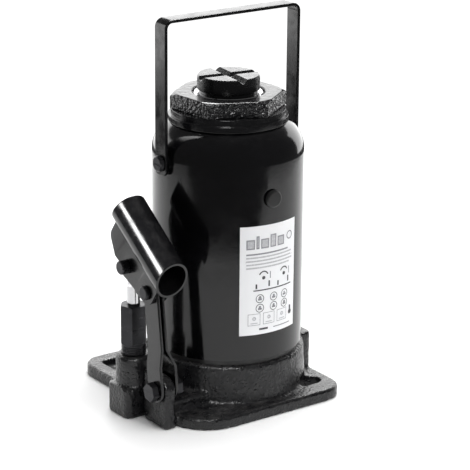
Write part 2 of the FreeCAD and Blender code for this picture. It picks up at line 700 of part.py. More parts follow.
def on_socket(part):
    place(part, pump_x, socket_y, socket_z, s["socket_tilt"], ABOUT_X)


def handle_socket():
    """The tube for the handle bar, cut on a slant at its inner end."""
    part = body("handle_socket")
    slant, reach = s["socket_slant"], s["socket_radius"]
    drawing = sketch(part, "XZ_Plane", 2 * slant)
    circle(drawing, 0, 0, reach)
    circle(drawing, 0, 0, s["socket_bore"])
    grow(part, "Pad", drawing, length=s["socket_length"] + 2 * slant, up=True)
    dress(part, "Chamfer", s["socket_edge"], lambda edge: edge.BoundBox.YLength < 1e-3)
    slice_off = sketch(part, "YZ_Plane")
    outline(slice_off, [(-3 * slant, -reach), (-slant, -reach), (slant, reach), (-3 * slant, reach)])
    grow(part, "Pocket", slice_off, both_ways=True)
    on_socket(part)


def yoke_plate(label, side):
    """One plate under the tube: pinched at the plunger pin, with lobes at its two pins."""
    part = body(label)
    thick, fold = s["yoke_thick"], s["yoke_fold"]
    bend = s["link_pin_along"] + s["link_lobe_radius"]
    bend_back = s["plunger_pin_along"] + s["plunger_lobe_radius"]
    face = [(s["yoke_link_gap"], -s["link_lobe_radius"]), (s["yoke_link_gap"], bend),
            (s["yoke_eye_gap"], bend + fold), (s["yoke_eye_gap"], bend_back),
            (s["yoke_mouth_gap"], bend_back + fold), (s["yoke_mouth_gap"], s["socket_length"])]
    strip = face + [(gap + thick, along) for gap, along in reversed(face)]
    deep = 2 * s["plunger_pin_below"]
    extrude(part, "XY_Plane", [(side * x, y) for x, y in strip], deep, -deep)
    lobes = [(s["link_pin_along"], -s["link_pin_below"], s["link_lobe_radius"]),
             (s["plunger_pin_along"], -s["plunger_pin_below"], s["plunger_lobe_radius"]),
             (s["lobe_along"], -s["lobe_below"], s["lobe_radius"])]
    trim(part, "YZ_Plane", lobed_outline(lobes, -half * s["socket_radius"]), 3 * s["socket_length"])
    drill(part, "XZ_Plane", 0, 0, s["socket_radius"], both_ways=True)
    drill(part, "YZ_Plane", *lobes[1][:2], s["pin_radius"], both_ways=True)
    drill(part, "YZ_Plane", *lobes[0][:2], s["pin_radius"] + s["pin_fit"], both_ways=True)
    on_socket(part)


def lobed_outline(lobes, top):
    """Goes round the undersides of three lobes, and straight up to a level top."""
    first, last = lobes[0], lobes[-1]
    corners = [(first[0] - first[2], top), (first[0] - first[2], first[1], first[2], True)]
    for here, after in zip(lobes, lobes[1:]):
        angle = direction(after[1] - here[1], after[0] - here[0])
        down_x, down_y = sine(angle), -cosine(angle)
        corners.append((here[0] + here[2] * down_x, here[1] + here[2] * down_y))
        corners.append((after[0] + after[2] * down_x, after[1] + after[2] * down_y, after[2], True))
    return corners + [(last[0] + last[2], last[1]), (last[0] + last[2], top)]


def headed_pin(label, y, z, reach, head_radius, head_height):
    """A pin along X: a head outside -reach, and a tail that passes +reach for its clip."""
    part = body(label)
    shaft = 2 * reach + s["pin_tail"]
    extrude(part, "YZ_Plane", [], shaft, -reach, holes=[(y, z, s["pin_radius"])])
    face = -reach - head_height
    extrude(part, "YZ_Plane", [], head_height, face, holes=[(y, z, head_radius)])
    level = face.number
    dress(part, "Chamfer", s["pin_edge"], lambda edge: abs(edge.BoundBox.XMax - level) < 1e-3)
    return part


def clip_ring(label, y, z, reach):
    part = body(label)
    extrude(part, "YZ_Plane", [], s["clip_thick"], reach + 0.3,
            holes=[(y, z, s["pin_radius"] + s["clip_rim"]), (y, z, s["pin_radius"])])
    return part


def socket_pins():
    along, below = s["plunger_pin_along"], -s["plunger_pin_below"]
    reach = yoke_eye_outer + 0.2
    on_socket(headed_pin("plunger_pin", along, below, reach, s["pin_head_radius"], s["pin_head_height"]))
    on_socket(clip_ring("plunger_pin_clip", along, below, reach))
    reach = yoke_link_outer + 0.2
    for part in (headed_pin("link_pin", 0, 0, reach, s["pin_head_radius"], s["link_head_height"]),
                 clip_ring("link_pin_clip", 0, 0, reach)):
        place(part, pump_x, link_y, link_z)


def link_strap(label, side):
    """One strap of the link: close to its twin at the top, flared round the lug at the foot."""
    part = body(label)
    thick, wide = s["strap_thick"], half * s["strap_width"]
    top, foot = s["strap_top_inner"], strap_foot_inner + side * s["lug_shift"]
    low, high = s["strap_flare_start"], s["strap_flare_end"]
    end = link_length + wide
    strip = [(foot, -wide), (foot + thick, -wide), (foot + thick, low), (top + thick, high),
             (top + thick, end), (top, end), (top, high), (foot, low)]
    drawing = sketch(part, "XZ_Plane")
    outline(drawing, [(side * x, z) for x, z in strip])
    grow(part, "Pad", drawing, length=s["strap_width"], both_ways=True)
    levels = (-wide.number, end.number)

    def is_end(edge):
        box = edge.BoundBox
        return box.YLength + box.ZLength < 1e-3 and min(abs(box.ZMin - z) for z in levels) < 1e-3
    dress(part, "Fillet", wide - 0.05, is_end)
    drill(part, "YZ_Plane", 0, 0, s["fulcrum_radius"] + s["pin_fit"], both_ways=True)
    drill(part, "YZ_Plane", 0, link_length, s["pin_radius"], both_ways=True)
    place(part, pump_x, s["fulcrum_y"], s["fulcrum_z"], link_lean, ABOUT_X)


def fulcrum():
    """The hexagon bolt through the lug, and its nut."""
    reach = strap_foot_inner + s["strap_thick"] + 0.4
    bolt = body("fulcrum_bolt")
    nut_height = s["fulcrum_head_height"]
    extrude(bolt, "YZ_Plane", [], 2 * reach + nut_height + 1, -reach, holes=[(0, 0, s["fulcrum_radius"])])
    extrude(bolt, "YZ_Plane", hexagon(s["fulcrum_flats"], 12), nut_height, -reach - nut_height)
    nut = body("fulcrum_nut")
    extrude(nut, "YZ_Plane", hexagon(s["fulcrum_flats"], 25), nut_height, reach,
            holes=[(0, 0, s["fulcrum_radius"])])
    for part in (bolt, nut):
        place(part, lug_x, s["fulcrum_y"], s["fulcrum_z"])


def bail_handle():
    """The carrying strap, bent square over the top."""
    part = body("bail_handle")
    inner, outer = bail_inner, bail_inner + s["bail_thick"]
    foot, top = s["bail_pivot_z"] - s["bail_tail"], s["bail_top"]
    bend, inner_bend = s["bail_corner"], s["bail_corner"] - s["bail_thick"]
    under = top - s["bail_thick"]
    drawing = sketch(part, "XZ_Plane")
    outline(drawing, [
        (outer, foot), (outer, top - bend, bend, True), (outer - bend, top), (bend - outer, top, bend, True),
        (-outer, top - bend), (-outer, foot), (-inner, foot), (-inner, under - inner_bend, inner_bend, False),
        (inner_bend - inner, under), (inner - inner_bend, under, inner_bend, False),
        (inner, under - inner_bend), (inner, foot)])
    grow(part, "Pad", drawing, length=s["bail_width"], both_ways=True)
    level = foot.number
    dress(part, "Fillet", 5, lambda edge: edge.BoundBox.YLength < 1e-3 and at_height(level)(edge))
    drill(part, "YZ_Plane", 0, s["bail_pivot_z"], s["bail_screw_radius"] + s["bail_fit"], both_ways=True)


def bail_fixings():
    """Welded bosses on the tank and the pan-head screws that the bail turns on."""
    bosses, screws = [], []
    face = bail_inner - s["bail_side_fit"]
    bite = tank + 0.8
    for side, word in ((1, "right"), (-1, "left")):
        boss = body(f"bail_boss_{word}")
        root_x = side * (half * tank)
        drawing = sketch(boss, "YZ_Plane", root_x)
        circle(drawing, 0, s["bail_pivot_z"], s["bail_boss_radius"])
        circle(drawing, 0, s["bail_pivot_z"], s["bail_screw_radius"])
        grow(boss, "Pad", drawing, length=face - half * tank, up=side < 0)
        drill(boss, "XY_Plane", 0, 0, tank, FAR, 0, True)
        bosses.append(boss)
        screw = body(f"bail_screw_{word}")
        shank = bail_inner + s["bail_thick"] + s["bail_fit"] + 0.3 - bite
        cap, crown = s["bail_head_radius"], s["bail_head_height"]
        revolve(screw, [
            (0, 0), (s["bail_screw_radius"], 0), (s["bail_screw_radius"], shank), (cap, shank),
            (cap, shank + half * crown, crown, True), (cap - half * crown, shank + crown),
            (0, shank + crown)])
        slot = 0.9
        top = shank + crown
        extrude_cut = sketch(screw, "XZ_Plane")
        outline(extrude_cut, rectangle(-slot, top - slot, slot, top + slot))
        grow(screw, "Pocket", extrude_cut, both_ways=True)
        turn = Size(90 * side, f"{90 * side}" if side > 0 else "(-90)")
        place(screw, side * bite, 0, s["bail_pivot_z"], turn, FreeCAD.Rotation(VECTOR(0, 1, 0), 10))
        screws.append(screw)
    group("bail_bosses", bosses)
    group("bail_screws", screws)


def filler_plug():
    part = body("filler_plug")
    stem, cap = s["filler_radius"] - 0.1, s["filler_cap_radius"]
    top = s["filler_cap_height"]
    revolve(part, [
        (0, -s["filler_stem"]), (stem - 0.8, -s["filler_stem"]), (stem, 0.8 - s["filler_stem"]),
        (stem, s["filler_gap"]), (cap, s["filler_gap"]), (cap, top - 1.5), (cap - 1.5, top), (0, top)])
    place(part, s["filler_x"], -tank, s["filler_z"], Size(90, "90"), ABOUT_X)


def label():
    """A thin sticker round the front of the tank."""
    shells = []
    for name, radius in (("label_outside", tank + s["label_thick"]),
                         ("label_inside", tank + 0.02)):
        shell = doc.addObject("Part::Cylinder", name)
        bind(shell, "Radius", radius)
        bind(shell, "Height", s["label_top"] - s["label_foot"])
        shell.setExpression("Angle", f"{(2 * s['label_half_angle']).text} * 1deg")
        start = s["label_turn"] - s["label_half_angle"]
        place(shell, 0, 0, s["label_foot"], start, ABOUT_Z)
        shells.append(shell)
    sticker = doc.addObject("Part::Cut", "label")
    sticker.Label = "label"
    sticker.Base, sticker.Tool = shells
    nodes.append(sticker)


def ball(label, radius, x, y, z):
    sphere = doc.addObject("Part::Sphere", label)
    sphere.Label = label
    bind(sphere, "Radius", radius)
    place(sphere, x, y, z)
    nodes.append(sphere)


def coil_spring(label, coil_radius, wire_radius, turns, height, x, z):
    """A round-wire spring lying along X from x, made as a sweep round a helix."""
    helix = doc.addObject("Part::Helix", f"{label}_line")
    bind(helix, "Radius", coil_radius)
    bind(helix, "Height", height)
    bind(helix, "Pitch", height / turns)
    section = doc.addObject("Part::Circle", f"{label}_wire")
    bind(section, "Radius", wire_radius)
    place(section, coil_radius, 0, 0, Size(90, "90"), ABOUT_X)
    coil = doc.addObject("Part::Sweep", label)
    coil.Label = label
    coil.Sections = [section]
    coil.Spine = (helix, ["Edge1"])
    coil.Solid = True
    coil.Frenet = True
    place(coil, x, 0, z, Size(90, "90"), FreeCAD.Rotation(VECTOR(0, 1, 0), 10))
    nodes.append(coil)


def seat_depth(ball_radius, hole_radius):
    """How far a ball's centre stands off the hole edge that it seats on."""
    return root(ball_radius * ball_radius - hole_radius * hole_radius)


def check_valves():
    valve, way = s["valve_ball_radius"], s["oil_way_radius"]
    ball("suction_ball", valve, pump_x, 0, s["chamber_floor"] + seat_depth(valve, way))
    centre = delivery_seat + seat_depth(valve, way)
    ball("delivery_ball", valve, centre, 0, s["gallery_z"])
    spring_x = centre + valve + 0.8
    coil_spring("delivery_spring", 2.6, 0.45, 5, 12, spring_x, s["gallery_z"])
    seat = body("delivery_spring_seat")
    drawing = sketch(seat, "YZ_Plane")
    circle(drawing, 0, 0, s["gallery_radius"])
    circle(drawing, 0, 0, half * s["gallery_radius"])
    grow(seat, "Pad", drawing, length=5)
    place(seat, spring_x + 12.6, 0, s["gallery_z"])
    strainer = body("oil_strainer")
    revolve(strainer, [
        (s["oil_way_radius"], 0), (s["strainer_radius"], 0), (s["strainer_radius"], s["strainer_height"]),
        (0, s["strainer_height"]), (0, s["strainer_height"] - 1),
        (s["oil_way_radius"], s["strainer_height"] - 1)])
    place(strainer, s["strainer_x"], s["strainer_y"], s["reservoir_floor"])


def overload_valve():
    """Relief ball, spring, setting screw and closing plug, in line from the gallery."""
    radius, bore = s["overload_ball_radius"], s["overload_radius"]
    centre = overload_seat + seat_depth(radius, s["gallery_radius"])
    ball("overload_ball", radius, centre, 0, s["gallery_z"])
    spring_x = centre + radius + 0.9
    coil_spring("overload_spring", 4.2, 0.8, 4, s["overload_spring"], spring_x, s["gallery_z"])
    screw_x = spring_x + s["overload_spring"] + 0.9
    for name, x, length in (("overload_screw", screw_x, s["overload_screw_length"]),
                            ("gallery_plug", gallery_end - s["plug_length"], s["plug_length"])):
        part = body(name)
        extrude(part, "YZ_Plane", [], length, holes=[(0, 0, bore)])
        drawing = sketch(part, "YZ_Plane", half * length)
        outline(drawing, hexagon(bore))
        grow(part, "Pocket", drawing, up=True)
        place(part, x, 0, s["gallery_z"])


def release_valve():
    """The release screw, notched for the handle's end, with its seal and ball."""
    seat = s["release_seat"]
    depth = seat_depth(s["release_ball_radius"], s["oil_way_radius"])
    ball("release_ball", s["release_ball_radius"], s["release_x"], seat + depth, s["gallery_z"])
    part = body("release_screw")
    nose = seat + depth + s["release_ball_radius"] + 0.05
    radius = s["release_thread_radius"] - s["rod_fit"]
    core = radius - s["seal_depth"]
    groove_end = release_boss_end - 4
    groove_start = groove_end - s["seal_width"]
    end = release_boss_end + s["release_tail"]
    revolve(part, [
        (0, nose), (release_pocket - 0.3, nose), (release_pocket - 0.3, release_thread_foot + 5),
        (radius, release_thread_foot + 7), (radius, groove_start), (core, groove_start),
        (core, groove_end), (radius, groove_end), (radius, end - 1), (radius - 1, end), (0, end)])
    notch = sketch(part, "XZ_Plane")
    outline(notch, rectangle(-1.5, end - 5, 1.5, end + 1))
    grow(part, "Pocket", notch, both_ways=True)
    place(part, s["release_x"], 0, s["gallery_z"], Size(-90, "(-90)"), ABOUT_X)
    seal = ring("release_seal", core, radius, groove_start, groove_end)
    place(seal, s["release_x"], 0, s["gallery_z"], Size(-90, "(-90)"), ABOUT_X)


base_casting()
reservoir_tank()
tank_closures()
top_nut()
ram_cylinder()
ram()
saddle()
pump_cylinder()
pump_plunger()
handle_socket()
for word, side in (("outer", -1), ("inner", 1)):
    yoke_plate(f"socket_yoke_{word}", side)
    link_strap(f"link_strap_{word}", side)
socket_pins()
fulcrum()
bail_handle()
bail_fixings()
filler_plug()
label()
check_valves()
overload_valve()
release_valve()


def write_parts():
    """Checks every object, then writes one file for each node."""
    doc.recompute()
    for item in doc.Objects:
        if "Invalid" in item.State or "Error" in item.State:
            raise RuntimeError(f"{item.Label} failed: {item.State}")
    for node in nodes:
        if node.Shape.isNull() or not node.Shape.isValid():
            raise RuntimeError(f"{node.Label} has no sound shape")
    os.makedirs("parts", exist_ok=True)
    for node in nodes:
        node.Shape.exportStep(f"parts/{node.Label}.step")
    print(len(nodes), "nodes written")


write_parts()
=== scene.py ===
"""Looks for the hydraulic bottle jack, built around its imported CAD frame. Units are metres."""
import json
import math

import bmesh
import bpy
from mathutils import Matrix, Vector


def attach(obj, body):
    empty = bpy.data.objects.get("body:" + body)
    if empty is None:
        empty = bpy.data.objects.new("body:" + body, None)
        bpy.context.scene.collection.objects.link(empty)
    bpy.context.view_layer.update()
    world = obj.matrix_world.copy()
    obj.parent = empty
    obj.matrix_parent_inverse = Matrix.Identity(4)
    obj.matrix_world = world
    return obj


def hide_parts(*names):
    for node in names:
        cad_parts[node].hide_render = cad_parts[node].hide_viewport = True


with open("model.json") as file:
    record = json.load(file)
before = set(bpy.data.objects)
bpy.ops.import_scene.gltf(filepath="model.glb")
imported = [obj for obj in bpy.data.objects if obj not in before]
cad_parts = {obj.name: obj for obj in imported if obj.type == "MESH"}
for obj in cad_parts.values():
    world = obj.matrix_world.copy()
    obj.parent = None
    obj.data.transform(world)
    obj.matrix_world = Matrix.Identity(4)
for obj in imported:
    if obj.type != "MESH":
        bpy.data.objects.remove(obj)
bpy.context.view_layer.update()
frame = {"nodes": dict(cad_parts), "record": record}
MM = 0.001
RECORD = frame["record"]
SLOT_OF = {part["node"]: part["material_slot"] for part in RECORD["subparts"]}
BODY_OF = {node: body for body, nodes in RECORD["behaviour"]["bodies"].items() for node in nodes}
TANK_RADIUS = 69 * MM
LABEL_THICK = 0.25 * MM
INK_THICK = 0.12 * MM
LABEL_FOOT = 75 * MM
LABEL_CENTRE = math.radians(-91)
PUMP_X = -103.2 * MM
CAMERA_YAW, CAMERA_PITCH, CAMERA_ROLL = -36, 18.1, 0.5
TOWARDS_CAMERA = CAMERA_YAW - 90
bpy.context.view_layer.update()


# ---- materials ----
class Surface:
    """Builds one procedural material around a Principled shader."""

    def __init__(self, name, color, rough, metal=0.0):
        self.material = bpy.data.materials.new(name)
        self.material.use_nodes = True
        self.tree = self.material.node_tree
        self.shader = self.tree.nodes["Principled BSDF"]
        self.set("Base Color", (*color, 1))
        self.set("Roughness", rough)
        self.set("Metallic", metal)
        self.height = None
        self.where = self.node("ShaderNodeTexCoord").outputs["Object"]

    def set(self, socket, value):
        self.shader.inputs[socket].default_value = value

    def node(self, kind, **settings):
        made = self.tree.nodes.new(kind)
        for key, value in settings.items():
            setattr(made, key, value)
        return made

    def link(self, source, target):
        self.tree.links.new(source, target)

    def mapped(self, stretch, shift=0.0):
        """Object coordinates stretched along each axis."""
        made = self.node("ShaderNodeMapping")
        made.inputs["Scale"].default_value = stretch
        made.inputs["Location"].default_value = (shift, shift, shift)
        self.link(self.where, made.inputs["Vector"])
        return made.outputs["Vector"]

    def noise(self, scale, detail=4.0, roughness=0.55, stretch=(1, 1, 1), shift=0.0):
        """Fractal noise; the scale is its blobs per metre."""
        made = self.node("ShaderNodeTexNoise")
        made.inputs["Scale"].default_value = scale
        made.inputs["Detail"].default_value = detail
        made.inputs["Roughness"].default_value = roughness
        self.link(self.mapped(stretch, shift), made.inputs["Vector"])
        return made.outputs["Fac"]

    def ramp(self, source, low, high, start=0.0, end=1.0):
        """Reads a value through a smooth ramp, from start at low to end at high."""
        made = self.node("ShaderNodeMapRange", interpolation_type="SMOOTHSTEP")
        for key, value in (("From Min", low), ("From Max", high), ("To Min", start), ("To Max", end)):
            made.inputs[key].default_value = value
        self.link(source, made.inputs["Value"])
        return made.outputs["Result"]

    def product(self, first, second):
        """One value times another."""
        made = self.node("ShaderNodeMath", operation="MULTIPLY")
        self.link(first, made.inputs[0])
        self.link(second, made.inputs[1])
        return made.outputs[0]

    def upward(self, low=0.4, high=0.95):
        """1 on faces that look up, 0 on the rest."""
        split = self.node("ShaderNodeSeparateXYZ")
        self.link(self.node("ShaderNodeNewGeometry").outputs["Normal"], split.inputs[0])
        return self.ramp(split.outputs["Z"], low, high)

    def vary_rough(self, scale, low, high, **options):
        """Lets the roughness wander between low and high."""
        result = self.ramp(self.noise(scale, **options), 0.3, 0.7, low, high)
        self.link(result, self.shader.inputs["Roughness"])

    def paint_over(self, mask, color):
        """Mixes another colour in where the mask is 1."""
        mix = self.node("ShaderNodeMix", data_type="RGBA")
        before = self.shader.inputs["Base Color"]
        if before.is_linked:
            self.link(before.links[0].from_socket, mix.inputs["A"])
        else:
            mix.inputs["A"].default_value = before.default_value
        mix.inputs["B"].default_value = (*color, 1)
        self.link(mask, mix.inputs["Factor"])
        self.link(mix.outputs["Result"], before)

    def bump(self, source, distance, strength=1.0):
        """Adds a layer of relief; distance is its depth in metres."""
        made = self.node("ShaderNodeBump")
        made.inputs["Strength"].default_value = strength
        made.inputs["Distance"].default_value = distance
        self.link(source, made.inputs["Height"])
        if self.height is not None:
            self.link(self.height, made.inputs["Normal"])
        self.height = made.outputs["Normal"]
        self.link(self.height, self.shader.inputs["Normal"])


def dusted(surface, scale, amount, color=(0.16, 0.155, 0.15)):
    """A thin film of dust on the faces that look up."""
    spread = surface.ramp(surface.noise(scale, 6.0, 0.6), 0.35, 0.75, 0.0, amount)
    surface.paint_over(surface.product(spread, surface.upward()), color)


def tank_enamel():
    """Gloss black enamel with a faint orange peel."""
    made = Surface("tank_enamel", (0.0022, 0.0022, 0.0026), 0.13)
    made.vary_rough(60.0, 0.09, 0.17)
    made.paint_over(made.ramp(made.noise(25.0, 6.0), 0.45, 0.75, 0.0, 0.5), (0.0045, 0.0045, 0.0055))
    dusted(made, 90.0, 0.04)
    made.bump(made.noise(9.0, 2.0), 0.0006, 0.3)
    made.bump(made.noise(330.0, 2.0), 0.00006, 0.35)
    return made


def base_enamel():
    """Satin black enamel over a sand casting, with a little rust at its foot."""
    made = Surface("base_enamel", (0.0035, 0.0035, 0.004), 0.3)
    made.vary_rough(140.0, 0.22, 0.4)
    made.paint_over(made.ramp(made.noise(420.0, 4.0), 0.6, 0.78, 0.0, 0.5), (0.014, 0.014, 0.015))
    low = made.node("ShaderNodeSeparateXYZ")
    made.link(made.where, low.inputs[0])
    foot = made.ramp(low.outputs["Z"], 0.006, 0.001)
    rust = made.ramp(made.noise(55.0, 8.0, 0.7, shift=3.1), 0.62, 0.7)
    made.paint_over(made.product(foot, rust), (0.11, 0.035, 0.012))
    dusted(made, 120.0, 0.12)
    made.bump(made.noise(240.0, 3.0), 0.0005, 0.5)
    made.bump(made.noise(380.0, 1.0), 0.0010, 0.85)
    return made


def nut_enamel():
    """Gloss enamel over a rough casting, smooth on its machined top."""
    made = Surface("nut_enamel", (0.0035, 0.0035, 0.004), 0.2)
    made.vary_rough(200.0, 0.13, 0.25)
    dusted(made, 140.0, 0.06)
    flat = made.upward(0.55, 0.9)
    grain = made.noise(350.0, 1.0)
    rough_side = made.node("ShaderNodeMath", operation="SUBTRACT")
    rough_side.inputs[0].default_value = 1.0
    made.link(flat, rough_side.inputs[1])
    made.bump(made.product(grain, rough_side.outputs[0]), 0.0023, 1.0)
    made.bump(made.noise(600.0, 3.0), 0.00005, 0.4)
    return made


def ring_enamel():
    """The nut's enamel on a turned ring: smooth, with faint tool marks."""
    made = Surface("ring_enamel", (0.003, 0.003, 0.0034), 0.17)
    made.vary_rough(120.0, 0.12, 0.24)
    dusted(made, 140.0, 0.05)
    made.bump(made.noise(60.0, 4.0, 0.6, stretch=(1, 1, 14)), 0.00006, 0.5)
    made.bump(made.noise(300.0, 2.0), 0.00008, 0.4)
    return made


def saddle_enamel():
    """Satin enamel, with a painted highlight on the pads: a lighter grey painted on their upward faces
    stands partly for wear to bare steel and partly for the light the pads reflect.
    """
    made = Surface("saddle_enamel", (0.004, 0.004, 0.0045), 0.24)
    made.vary_rough(180.0, 0.17, 0.3)
    # painted highlight: the lighter grey on the pads' upward faces stands partly for wear and partly
    # for the studio light they reflect
    rubbed_and_sheen = made.ramp(made.noise(160.0, 7.0, 0.7), 0.3, 0.62)
    made.paint_over(made.product(rubbed_and_sheen, made.upward(0.9, 0.99)), (0.12, 0.12, 0.122))
    scratches = made.noise(60.0, 2.0, 0.5, stretch=(1, 26, 1), shift=1.7)
    made.bump(scratches, 0.00008, 0.4)
    made.bump(made.noise(420.0, 4.0), 0.00016, 0.5)
    return made


def linkage_enamel():
    """Semi-gloss enamel on pressed steel, with fine runs and chipped specks."""
    made = Surface("linkage_enamel", (0.0035, 0.0035, 0.004), 0.19)
    made.vary_rough(110.0, 0.13, 0.26)
    specks = made.ramp(made.noise(520.0, 3.0, 0.6, shift=0.9), 0.72, 0.76)
    made.paint_over(specks, (0.05, 0.045, 0.04))
    dusted(made, 120.0, 0.05)
    made.bump(made.noise(38.0, 2.0), 0.0002, 0.3)
    made.bump(made.noise(480.0, 3.0), 0.00005, 0.4)
    return made


def machined(name, color, rough, stretch, metal=1.0, depth=0.00005):
    """Turned or ground metal; the stretch sets which way its lines run."""
    made = Surface(name, color, rough, metal=metal)
    made.vary_rough(90.0, rough * 0.75, rough * 1.3, stretch=stretch)
    stain = made.ramp(made.noise(45.0, 6.0, 0.6, shift=2.3), 0.5, 0.8, 0.0, 0.5)
    made.paint_over(stain, tuple(0.55 * value for value in color))
    made.bump(made.noise(70.0, 5.0, 0.7, stretch=stretch), depth, 0.5)
    return made


def seal_rubber():
    """Moulded nitrile rubber: matt, with a dull bloom."""
    made = Surface("seal_rubber", (0.010, 0.010, 0.010), 0.42)
    made.vary_rough(130.0, 0.34, 0.52)
    made.paint_over(made.ramp(made.noise(210.0, 5.0), 0.55, 0.8, 0.0, 0.5), (0.022, 0.022, 0.023))
    made.bump(made.noise(700.0, 3.0), 0.00006, 0.5)
    return made


def label_paper():
    """White printed film with a faint fibre and handling marks."""
    made = Surface("label_paper", (0.93, 0.935, 0.95), 0.42)
    made.vary_rough(160.0, 0.38, 0.52)
    made.paint_over(made.ramp(made.noise(35.0, 6.0, 0.65), 0.55, 0.8, 0.0, 0.25), (0.82, 0.825, 0.83))
    made.bump(made.noise(900.0, 3.0), 0.00003, 0.4)
    return made


def label_ink(name, color):
    """Printed ink with slightly uneven cover."""
    made = Surface(name, color, 0.5)
    made.vary_rough(200.0, 0.42, 0.58)
    thin = tuple(min(1.0, 1.6 * value + 0.05) for value in color)
    made.paint_over(made.ramp(made.noise(800.0, 3.0), 0.5, 0.75, 0.0, 0.6), thin)
    made.bump(made.noise(1200.0, 2.0), 0.00001, 0.3)
    return made


AROUND = (1, 1, 30)
MATERIALS = {
    "tank_enamel": tank_enamel(),
    "base_enamel": base_enamel(),
    "nut_enamel": nut_enamel(),
    "saddle_enamel": saddle_enamel(),
    "linkage_enamel": linkage_enamel(),
    "black_steel": machined("black_steel", (0.035, 0.035, 0.038), 0.34, (1, 1, 6), 0.75, 0.00009),
    "ram_chrome": machined("ram_chrome", (0.62, 0.62, 0.63), 0.12, AROUND, 1.0, 0.00002),
    "plain_steel": machined("plain_steel", (0.44, 0.44, 0.45), 0.3, AROUND),
    "bronze": machined("bronze", (0.5, 0.33, 0.17), 0.3, AROUND),
    "copper": machined("copper", (0.56, 0.27, 0.16), 0.35, (4, 4, 4)),
    "seal_rubber": seal_rubber(),
    "label_paper": label_paper(),
}
INK = {"ink_dark": label_ink("ink_dark", (0.055, 0.055, 0.06)),
       "ink_grey": label_ink("ink_grey", (0.26, 0.26, 0.28)),
       "ink_pale": label_ink("ink_pale", (0.52, 0.52, 0.54))}


# ---- pieces ----
RING_ENAMEL = ring_enamel()


def finish(piece, body, slot, material=None, stands_for=()):
    """Puts a new piece on its body, in its slot's material."""
    bpy.context.collection.objects.link(piece)
    piece.data.materials.clear()
    piece.data.materials.append((material or MATERIALS[slot]).material)
    if stands_for:
        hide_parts(*stands_for)
    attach(piece, body)
    return piece


def clean_copy(node, name):
    """The CAD node's mesh in the row frame, with its seams joined and flats cleared."""
    source = frame["nodes"][node]
    work = bmesh.new()
    work.from_mesh(source.data)
    work.transform(source.matrix_world)
    bmesh.ops.remove_doubles(work, verts=work.verts, dist=2e-6)
    bmesh.ops.dissolve_limit(work, angle_limit=math.radians(0.4), verts=work.verts, edges=work.edges)
    work.verts.index_update()
    mesh = bpy.data.meshes.new(name)
    faces = [[vert.index for vert in face.verts] for face in work.faces]
    mesh.from_pydata([vert.co for vert in work.verts], [], faces)
    work.free()
    mesh.validate()
    return mesh


def apply_modifiers(piece):
    """Turns an object's modifiers into plain geometry."""
    bpy.context.collection.objects.link(piece)
    shown = bpy.context.evaluated_depsgraph_get()
    mesh = bpy.data.meshes.new_from_object(piece.evaluated_get(shown))
    piece.modifiers.clear()
    piece.data = mesh
    bpy.context.collection.objects.unlink(piece)


def rounded(node, width, segments=2, sharp=32, material=None):
    """Stands for a machined or pressed CAD node, with its edges eased by a width in mm."""
    piece = bpy.data.objects.new(f"{node}_eased", clean_copy(node, f"{node}_eased"))
    bevel = piece.modifiers.new("ease", "BEVEL")
    bevel.width = width * MM
    bevel.segments = segments
    bevel.limit_method = "ANGLE"
    bevel.angle_limit = math.radians(sharp)
    bevel.miter_outer = "MITER_ARC"
    apply_modifiers(piece)
    piece.data.shade_smooth()
    piece.data.set_sharp_from_angle(angle=math.radians(sharp + 4))
    weigh = piece.modifiers.new("normals", "WEIGHTED_NORMAL")
    weigh.keep_sharp = True
    apply_modifiers(piece)
    return finish(piece, BODY_OF[node], SLOT_OF[node], material, stands_for=(node,))


def cast(node, voxel, lump, lump_size, grain, grain_size):
    """Stands for a cast CAD node: edges softened by the mould, faces lumpy and grained.
    Sizes are in mm."""
    piece = bpy.data.objects.new(f"{node}_cast", clean_copy(node, f"{node}_cast"))
    shell = piece.modifiers.new("shell", "REMESH")
    shell.mode = "VOXEL"
    shell.voxel_size = voxel * MM
    shell.use_smooth_shade = True
    soften = piece.modifiers.new("soften", "SMOOTH")
    soften.factor = 0.5
    soften.iterations = 3
    for name, strength, length in (("lumps", lump, lump_size), ("grain", grain, grain_size)):
        texture = bpy.data.textures.new(f"{node}_{name}", "CLOUDS")
        texture.noise_scale = length * MM
        texture.noise_depth = 2
        relief = piece.modifiers.new(name, "DISPLACE")
        relief.texture = texture
        relief.texture_coords = "LOCAL"
        relief.strength = strength * MM
        relief.mid_level = 0.5
    apply_modifiers(piece)
    return finish(piece, BODY_OF[node], SLOT_OF[node], stands_for=(node,))


def lathe(name, profile, body, slot, centre=(0, 0), steps=128):
    """A closed ring turned about a vertical line; the profile is (radius, height) in mm."""
    mesh = bpy.data.meshes.new(name)
    count = len(profile)
    points, faces = [], []
    for step in range(steps):
        angle = 2 * math.pi * step / steps
        for radius, height in profile:
            points.append((centre[0] + radius * MM * math.cos(angle),
                           centre[1] + radius * MM * math.sin(angle), height * MM))
        after = (step + 1) % steps
        for index in range(count):
            follow = (index + 1) % count
            faces.append((step * count + index, after * count + index, after * count + follow,
                          step * count + follow))
    mesh.from_pydata(points, [], faces)
    mesh.shade_smooth()
    mesh.set_sharp_from_angle(angle=math.radians(40))
    return finish(bpy.data.objects.new(name, mesh), body, slot)


def dress_cad_nodes():
    """Gives every CAD node that still shows its slot's procedural material."""
    for node, source in frame["nodes"].items():
        for index in range(max(1, len(source.data.materials))):
            if source.data.materials:
                source.material_slots[index].material = MATERIALS[SLOT_OF[node]].material
            else:
                source.data.materials.append(MATERIALS[SLOT_OF[node]].material)


